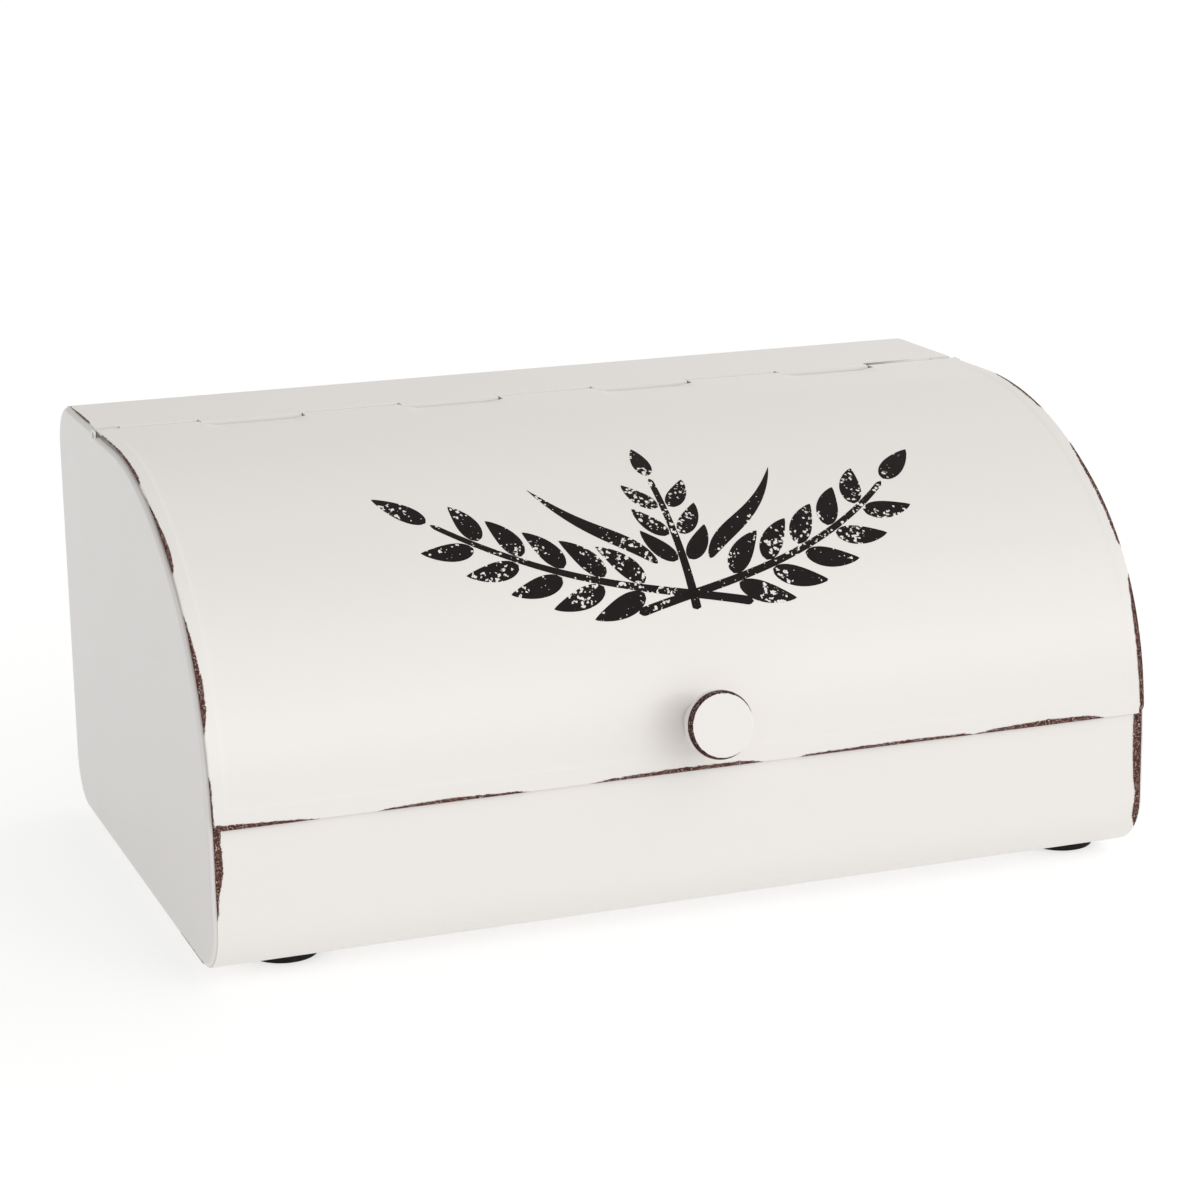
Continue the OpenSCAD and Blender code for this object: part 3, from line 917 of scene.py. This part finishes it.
class Shader:
    """A material's nodes, with short calls for the kinds that are used here."""

    def __init__(self, name):
        self.material = bpy.data.materials.new(name)
        self.material.use_nodes = True
        self.tree = self.material.node_tree
        self.tree.nodes.clear()
        self.output = self.node("ShaderNodeOutputMaterial")
        self.surface = self.node("ShaderNodeBsdfPrincipled")
        self.link(self.surface.outputs["BSDF"], self.output.inputs["Surface"])
        coordinates = self.node("ShaderNodeTexCoord")
        self.place = coordinates.outputs["Object"]

    def node(self, kind, **settings):
        node = self.tree.nodes.new(kind)
        for key, value in settings.items():
            setattr(node, key, value)
        return node

    def link(self, a, b):
        self.tree.links.new(a, b)

    def feed(self, socket, value):
        if isinstance(value, bpy.types.NodeSocket):
            self.link(value, socket)
        else:
            socket.default_value = value

    def math(self, operation, a, b=0.0, clamp=False):
        node = self.node("ShaderNodeMath", operation=operation, use_clamp=clamp)
        self.feed(node.inputs[0], a)
        self.feed(node.inputs[1], b)
        return node.outputs[0]

    def ramp(self, value, low, high, to_low=0.0, to_high=1.0):
        node = self.node("ShaderNodeMapRange", interpolation_type="SMOOTHSTEP")
        for key, v in (("Value", value), ("From Min", low), ("From Max", high)):
            self.feed(node.inputs[key], v)
        node.inputs["To Min"].default_value = to_low
        node.inputs["To Max"].default_value = to_high
        return node.outputs["Result"]

    def stretch(self, x, y, z):
        """Object coordinates scaled along the axes."""
        node = self.node("ShaderNodeMapping")
        node.inputs["Scale"].default_value = (x, y, z)
        self.link(self.place, node.inputs["Vector"])
        return node.outputs["Vector"]

    def noise(self, size, detail=3.0, roughness=0.5, vector=None):
        """Noise whose features are about size millimetres across."""
        node = self.node("ShaderNodeTexNoise")
        self.link(vector or self.place, node.inputs["Vector"])
        node.inputs["Scale"].default_value = 1 / (size * MM)
        node.inputs["Detail"].default_value = detail
        node.inputs["Roughness"].default_value = roughness
        return node.outputs["Fac"]

    def mix(self, factor, a, b):
        node = self.node("ShaderNodeMix", data_type="RGBA")
        self.feed(node.inputs["Factor"], factor)
        for key, value in (("A", a), ("B", b)):
            socket = next(s for s in node.inputs if s.name == key and s.type == "RGBA")
            self.feed(socket, value if isinstance(value, bpy.types.NodeSocket) else (*value, 1))
        return next(s for s in node.outputs if s.type == "RGBA")

    def attribute(self, name):
        node = self.node("ShaderNodeAttribute", attribute_name=name)
        return node.outputs["Fac"]

    def bump(self, height, distance, strength=1.0):
        """distance is the height's full range in millimetres."""
        node = self.node("ShaderNodeBump")
        self.link(height, node.inputs["Height"])
        node.inputs["Distance"].default_value = distance * MM
        node.inputs["Strength"].default_value = strength
        return node.outputs["Normal"]

    def spread(self, value, amount):
        """A noise value moved to be centred on zero and scaled."""
        return self.math("MULTIPLY", self.math("SUBTRACT", value, 0.5), amount)

    def finish(self, **inputs):
        """Sets or links the surface's sockets, and gives the finished material."""
        for key, value in inputs.items():
            socket = self.surface.inputs[key.replace("_", " ")]
            if isinstance(value, tuple) and len(value) == 3:
                value = (*value, 1)
            self.feed(socket, value)
        return self.material


# Linear colours.
WHITE = (0.734, 0.706, 0.676)
# The end panels' white is a little darker than WHITE. This is painted shade on the box's sides, which the
# lamps alone leave too bright.
PANEL_SHADED_WHITE = (0.700, 0.677, 0.657)
BROWN = (0.112, 0.040, 0.029)
DARK = (0.036, 0.013, 0.010)
TAN = (0.30, 0.17, 0.135)
KNOB_BROWN = (0.062, 0.024, 0.018)
KNOB_DARK = (0.022, 0.010, 0.008)
INK_LOW, INK_HIGH = (0.009, 0.007, 0.007), (0.017, 0.013, 0.012)
RUBBER_LOW, RUBBER_HIGH = (0.006, 0.005, 0.005), (0.014, 0.012, 0.011)
ZINC_LOW, ZINC_HIGH = (0.52, 0.53, 0.55), (0.66, 0.66, 0.65)
OXIDE_LOW, OXIDE_HIGH = (0.030, 0.030, 0.032), (0.055, 0.054, 0.052)
FLOOR_LOW, FLOOR_HIGH = (0.425, 0.425, 0.425), (0.435, 0.435, 0.435)


def worn_mask(shader, ragged_by, speck_by):
    """1 where the paint is gone: ragged at the border, with flecks of paint left inside."""
    worn = shader.attribute("worn")
    ragged = shader.spread(shader.noise(3.0, 4.0, 0.6), ragged_by)
    speck = shader.spread(shader.noise(0.45, 2.0, 0.6), speck_by)
    edge = shader.math("ADD", shader.math("ADD", worn, ragged), speck)
    gone = shader.ramp(edge, 0.0, 0.18)
    flecks = shader.ramp(shader.noise(0.6, 2.0, 0.6), 0.60, 0.65)
    return shader.math("SUBTRACT", gone, shader.math("MULTIPLY", flecks, 0.5 * speck_by), clamp=True)


def enamel(name, paint, roughness, ragged_by=1.1, speck_by=1.6, light=BROWN, dark=DARK):
    """Brushed-on warm white enamel over brown primer, which shows where it is worn off."""
    shader = Shader(name)
    gone = worn_mask(shader, ragged_by, speck_by)
    primer = shader.mix(shader.ramp(shader.noise(0.6, 3.0, 0.6), 0.38, 0.6), dark, light)
    primer = shader.mix(shader.ramp(shader.noise(0.7, 2.0, 0.6), 0.60, 0.67), primer, TAN)
    color = shader.mix(gone, paint, primer)
    normal = shader.bump(shader.math("SUBTRACT", 1.0, gone), 0.10, 0.9)
    gloss = shader.math("ADD", roughness - 0.02, shader.math("MULTIPLY", shader.noise(35, 0.0), 0.04))
    rough = shader.math("ADD", gloss, shader.math("MULTIPLY", gone, 0.36))
    shine = shader.math("SUBTRACT", 0.5, shader.math("MULTIPLY", gone, 0.4))
    return shader.finish(Base_Color=color, Roughness=rough, Specular_IOR_Level=shine, Normal=normal)


def ink_print(name):
    """Matt black print, rubbed through to the enamel in clusters of specks."""
    shader = Shader(name)
    cluster = shader.ramp(shader.noise(15, 2.0, 0.5), 0.46, 0.58)
    cells = shader.node("ShaderNodeTexVoronoi")
    shader.link(shader.place, cells.inputs["Vector"])
    cells.inputs["Scale"].default_value = 1 / (1.9 * MM)
    reach = shader.math("ADD", 0.13, shader.math("MULTIPLY", cluster, 0.35))
    reach = shader.math("MULTIPLY", reach, shader.ramp(shader.noise(1.7, 2.0, 0.6), 0.38, 0.62, 0.0, 1.3))
    rubbed = shader.ramp(shader.math("SUBTRACT", reach, cells.outputs["Distance"]), 0.0, 0.05)
    black = shader.mix(shader.noise(6, 3.0, 0.5), INK_LOW, INK_HIGH)
    color = shader.mix(rubbed, black, WHITE)
    normal = shader.bump(rubbed, 0.02)
    return shader.finish(Base_Color=color, Roughness=0.55, Specular_IOR_Level=0.06, Normal=normal)


def steel(name, dull, bright):
    """Steel with fine turning marks and dull spangle."""
    shader = Shader(name)
    drawn = shader.noise(0.5, 4.0, 0.6, shader.stretch(0.08, 1, 1))
    color = shader.mix(shader.noise(4, 3.0), dull, bright)
    rough = shader.ramp(drawn, 0.3, 0.7, 0.26, 0.42)
    return shader.finish(Base_Color=color, Metallic=1.0, Roughness=rough, Normal=shader.bump(drawn, 0.01))


def rubber(name):
    """Moulded black rubber with a fine dusty grain."""
    shader = Shader(name)
    dust = shader.ramp(shader.noise(3, 4.0, 0.6), 0.5, 0.8)
    color = shader.mix(dust, RUBBER_LOW, RUBBER_HIGH)
    grit = shader.bump(shader.noise(0.4), 0.03)
    return shader.finish(Base_Color=color, Roughness=0.75, Specular_IOR_Level=0.2, Normal=grit)


# ---- Making --------------------------------------------------------------------------------

lid = make_lid()
wrap = make_wrap()
left_panel = make_panel("left_panel_sheet", -1, "left_end_panel", left_panel_wear)
right_panel = make_panel("right_panel_sheet", 1, "right_end_panel", right_panel_wear)
knob = turned_piece(
    "turned_knob", knob_profile(), knob_worn, knob_axis(),
    body="lid", slot="painted_knob", nodes=["knob"],
)
corners = ("front_left", "front_right", "rear_left", "rear_right")
feet = [make_foot(f"foot_{corner}") for corner in corners]
wheat = make_print()

body_paint = enamel("body_enamel", WHITE, 0.31)
# The end panels' enamel uses the darker white, so its tone holds painted shade.
panel_shaded_paint = enamel("panel_shaded_enamel", PANEL_SHADED_WHITE, 0.31)
lid_paint = enamel("lid_enamel", WHITE, 0.30)
knob_paint = enamel("knob_enamel", WHITE, 0.36, 0.5, 0.7, KNOB_BROWN, KNOB_DARK)
for piece, material in (
    (wrap, body_paint), (left_panel, panel_shaded_paint), (right_panel, panel_shaded_paint),
    (lid, lid_paint), (knob, knob_paint), (wheat, ink_print("wheat_ink")),
):
    piece.data.materials.append(material)
foot_rubber = rubber("foot_rubber")
for foot in feet:
    foot.data.materials.append(foot_rubber)
zinc = steel("zinc_plate", ZINC_LOW, ZINC_HIGH)
black_oxide = steel("black_oxide", OXIDE_LOW, OXIDE_HIGH)
for name in ("hinge_pin", "knob_screw", "knob_washer", "foot_screws", "foot_washers", "foot_nuts"):
    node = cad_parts[name]
    node.data.materials.clear()
    node.data.materials.append(black_oxide if name == "hinge_pin" else zinc)

# ---- Floor, light and camera ---------------------------------------------------------------


FLOOR_HALF = 40.0
FLOOR_GLOW = 0.61


def make_floor():
    """A pale even floor with a little light of its own."""
    mesh = bpy.data.meshes.new("floor")
    corners = [(x * FLOOR_HALF, y * FLOOR_HALF, 0) for x, y in ((-1, -1), (1, -1), (1, 1), (-1, 1))]
    mesh.from_pydata(corners, [], [(0, 1, 2, 3)])
    floor = bpy.data.objects.new("floor", mesh)
    bpy.context.scene.collection.objects.link(floor)
    shader = Shader("floor_white")
    tone = shader.mix(shader.noise(400, 2.0), FLOOR_LOW, FLOOR_HIGH)
    shader.surface.inputs["Emission Color"].default_value = (1, 1, 1, 1)
    mesh.materials.append(shader.finish(Base_Color=tone, Roughness=0.9, Emission_Strength=FLOOR_GLOW))


def area_light(name, spot, target, size, power):
    """A rectangular light at a spot, turned to the target."""
    light = bpy.data.lights.new(name, "AREA")
    light.shape = "RECTANGLE"
    light.size, light.size_y = size
    light.energy = power
    lamp = bpy.data.objects.new(name, light)
    bpy.context.scene.collection.objects.link(lamp)
    lamp.location = spot
    lamp.rotation_euler = (Vector(target) - Vector(spot)).to_track_quat("-Z", "Y").to_euler()


def sun_light(name, turn, rise_angle, spread, strength):
    """A wide soft light from the front, turned to the right and raised by angles."""
    light = bpy.data.lights.new(name, "SUN")
    light.angle = math.radians(spread)
    light.energy = strength
    lamp = bpy.data.objects.new(name, light)
    bpy.context.scene.collection.objects.link(lamp)
    lamp.rotation_euler = (math.radians(90 - rise_angle), 0, math.radians(turn))


# The camera's place in metres, its angles in degrees and its lens on a 36 mm sensor.
CAMERA_AT = Vector((-0.485, -1.3089, 0.4756))
CAMERA_TURN, CAMERA_DOWN, CAMERA_ROLL = 20.362, 14.516, -0.8685
CAMERA_LENS = 95.97


def make_camera():
    """The camera at the photo's angle."""
    data = bpy.data.cameras.new("photo_camera")
    data.lens = CAMERA_LENS
    data.sensor_width = 36.0
    camera = bpy.data.objects.new("photo_camera", data)
    bpy.context.scene.collection.objects.link(camera)
    turn = Matrix.Rotation(math.radians(-CAMERA_TURN), 4, "Z")
    tip = Matrix.Rotation(math.radians(90 - CAMERA_DOWN), 4, "X")
    roll = Matrix.Rotation(math.radians(CAMERA_ROLL), 4, "Z")
    camera.matrix_world = Matrix.Translation(CAMERA_AT) @ turn @ tip @ roll
    bpy.context.scene.camera = camera


WORLD_LEVEL, WORLD_RIGHT = 0.59, 0.86
WORLD_COLOR = (1.0, 0.995, 0.985, 1)


def make_world():
    """Soft studio light from all round, brighter towards the right."""
    world = bpy.data.worlds.new("studio")
    world.use_nodes = True
    tree = world.node_tree
    background = tree.nodes["Background"]
    background.inputs["Color"].default_value = WORLD_COLOR
    direction = tree.nodes.new("ShaderNodeTexCoord")
    parts = tree.nodes.new("ShaderNodeSeparateXYZ")
    right = tree.nodes.new("ShaderNodeMath")
    right.operation = "MAXIMUM"
    right.inputs[1].default_value = 0.0
    strength = tree.nodes.new("ShaderNodeMath")
    strength.operation = "MULTIPLY_ADD"
    strength.inputs[1].default_value = WORLD_RIGHT
    strength.inputs[2].default_value = WORLD_LEVEL
    tree.links.new(direction.outputs["Generated"], parts.inputs["Vector"])
    tree.links.new(parts.outputs["X"], right.inputs[0])
    tree.links.new(right.outputs[0], strength.inputs[0])
    tree.links.new(strength.outputs[0], background.inputs["Strength"])
    bpy.context.scene.world = world


make_floor()
make_world()
make_camera()
sun_light("key", turn=10, rise_angle=36, spread=60, strength=0.62)
area_light("softbox", spot=(0.95, -3.1, 1.15), target=(0, 0, 0.1), size=(2.2, 1.5), power=11.4)
bpy.context.scene.view_settings.view_transform = "Standard"
